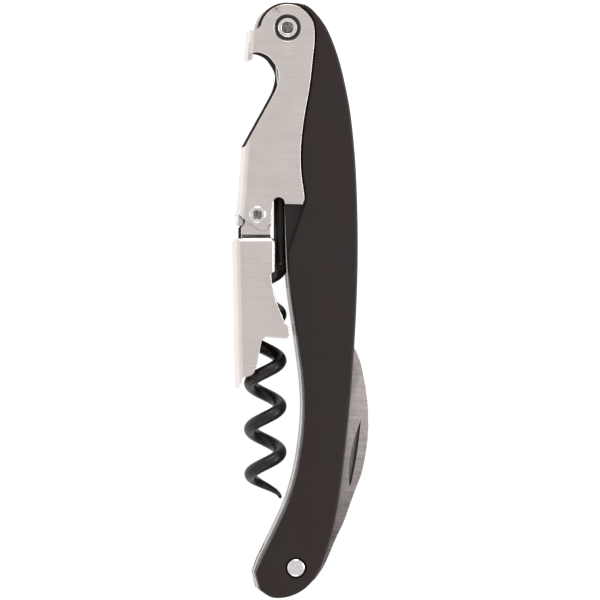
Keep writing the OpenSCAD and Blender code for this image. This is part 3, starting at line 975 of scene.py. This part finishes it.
def make_knife():
    """A blade ground from its back to its edge, with a nail nick and a small groove."""
    left = knife_tang_left + knife_edge[1:]
    right = knife_tang_right + knife_back[1:]
    outline = left + right[::-1]

    def half_thickness(spots):
        from_edge = distance_to(knife_edge, spots)
        from_rim = distance_to(outline, spots)
        plunge = np.clip((spots[:, 1] - RICASSO_Y) / PLUNGE_LENGTH, 0, 1)
        ground = EDGE_HALF + (KNIFE_HALF - EDGE_HALF) * np.clip(from_edge / GRIND_WIDTH, 0, 1)
        broken = 0.08 * (1 - np.clip(from_rim / 0.1, 0, 1))
        return KNIFE_HALF + (ground - KNIFE_HALF) * plunge - broken

    knife = strip_piece("knife_blade_ground", left, right, 110, 22, half_thickness,
                        lambda spots: -half_thickness(spots))
    nick = flat_piece("nick", nick_outline, 0, 2)
    for vertex in nick.data.vertices:
        if vertex.co.z < 1:
            middle = NICK_TOP[0] + (vertex.co.y - NICK_TOP[1]) * NICK_LEAN
            vertex.co.z = NICK_DEPTH_Z - 0.3 * min(1, max(-1.2, vertex.co.x - middle))
    carve(knife, nick)
    carve(knife, flat_piece("groove", groove_outline, GROOVE_Z, 2))
    drill(knife, TAIL_PIVOT, TAIL_RIVET_R + BORE_GAP)
    finished(knife, "knife", "blade_steel", blade_steel, "knife_blade", angle=30)
    # Painted shade: the nick's floor is coloured mid grey and its walls dark, as the shade in the
    # nick.
    second_finish(knife, nick_shade_steel, lambda centre, normal: in_nick(centre) and normal.z > 0.5)
    second_finish(knife, hollow_shade_steel,
                  lambda centre, normal: in_nick(centre) and normal.z <= 0.5)


# ---------- camera, floor and light ----------

SOFTBOXES = (
    ("left_softbox", (-0.8, 0.1, 0.55), 0.7, 0.5),
    ("right_softbox", (0.85, 0.1, 0.45), 0.5, 4.0),
    ("head_softbox", (0.1, 0.9, 0.5), 0.5, 3.0),
    ("tail_softbox", (-0.05, -0.85, 0.6), 0.6, 1.0))
CAMERA_YAW = math.radians(5.3)
CAMERA_DISTANCE = 1.1
VIEW_WIDTH = 0.12
SENSOR = 36


def make_floor():
    nothing_selected()
    bpy.ops.mesh.primitive_plane_add(size=3)
    floor = named("floor")
    paper = Finish("pale_paper")
    fibres = paper.grain((0.8, 0.8, 0.8), 3)
    floor.data.materials.append(paper.set(
        Base_Color=paper.colours(fibres, (0.24, 0.24, 0.24), (0.26, 0.26, 0.26)), Roughness=0.8,
        Emission_Color=(1, 1, 1, 1), Emission_Strength=0.95))


def make_sky():
    """Even light from all round, a little brighter at the horizon than overhead."""
    world = bpy.data.worlds.new("studio")
    bpy.context.scene.world = world
    world.use_nodes = True
    nodes = world.node_tree.nodes
    links = world.node_tree.links
    spot = nodes.new("ShaderNodeTexCoord")
    parts = nodes.new("ShaderNodeSeparateXYZ")
    ramp = nodes.new("ShaderNodeValToRGB")
    stops = ramp.color_ramp.elements
    for stop, height, grey in ((stops[0], 0.1, 0.8), (stops[1], 0.85, 0.76)):
        stop.position = height
        stop.color = (grey, grey, grey, 1)
    links.new(spot.outputs["Generated"], parts.inputs[0])
    links.new(parts.outputs["Z"], ramp.inputs[0])
    links.new(ramp.outputs["Color"], nodes["Background"].inputs["Color"])
    nodes["Background"].inputs["Strength"].default_value = 1.0


def make_softboxes():
    """Each stands at its spot, in metres, and faces the tool."""
    for name, spot, size, power in SOFTBOXES:
        bpy.ops.object.light_add(type="AREA", location=spot)
        lamp = bpy.context.active_object
        lamp.name = name
        lamp.data.size = size
        lamp.data.energy = power
        lamp.rotation_euler = (-Vector(spot)).to_track_quat("-Z", "Y").to_euler()


def make_camera():
    """Looks almost straight down, from a little towards the concave side of the handle."""
    target = place(-0.2, 0, FACE)
    away = Vector((-math.sin(CAMERA_YAW), 0, math.cos(CAMERA_YAW)))
    bpy.ops.object.camera_add(location=target + CAMERA_DISTANCE * away,
                              rotation=(0, -CAMERA_YAW, 0))
    camera = bpy.context.active_object
    camera.name = "camera"
    camera.data.sensor_width = SENSOR
    camera.data.lens = SENSOR * CAMERA_DISTANCE / VIEW_WIDTH
    camera.data.clip_start = 0.01
    bpy.context.scene.camera = camera


def finish_small_nodes():
    """Gives the small CAD nodes that aren't replaced their metals."""
    for node, finish in (("spring_rivets", rivet_steel), ("spine_rivets", rivet_steel),
                         ("worm_pin", rivet_steel), ("head_bush", worn_brass),
                         ("front_knife_washer", worn_brass), ("rear_knife_washer", worn_brass),
                         ("knuckle_bush", worn_brass)):
        mesh = frame["nodes"][node].data
        mesh.materials.clear()
        mesh.materials.append(finish)


make_camera()
make_floor()
make_sky()
make_softboxes()
make_covers()
make_liners()
make_inner_strips()
make_rivets()
make_upper_lever()
make_lower_lever()
make_worm()
make_knife()
finish_small_nodes()

bpy.context.scene.view_settings.view_transform = "Standard"
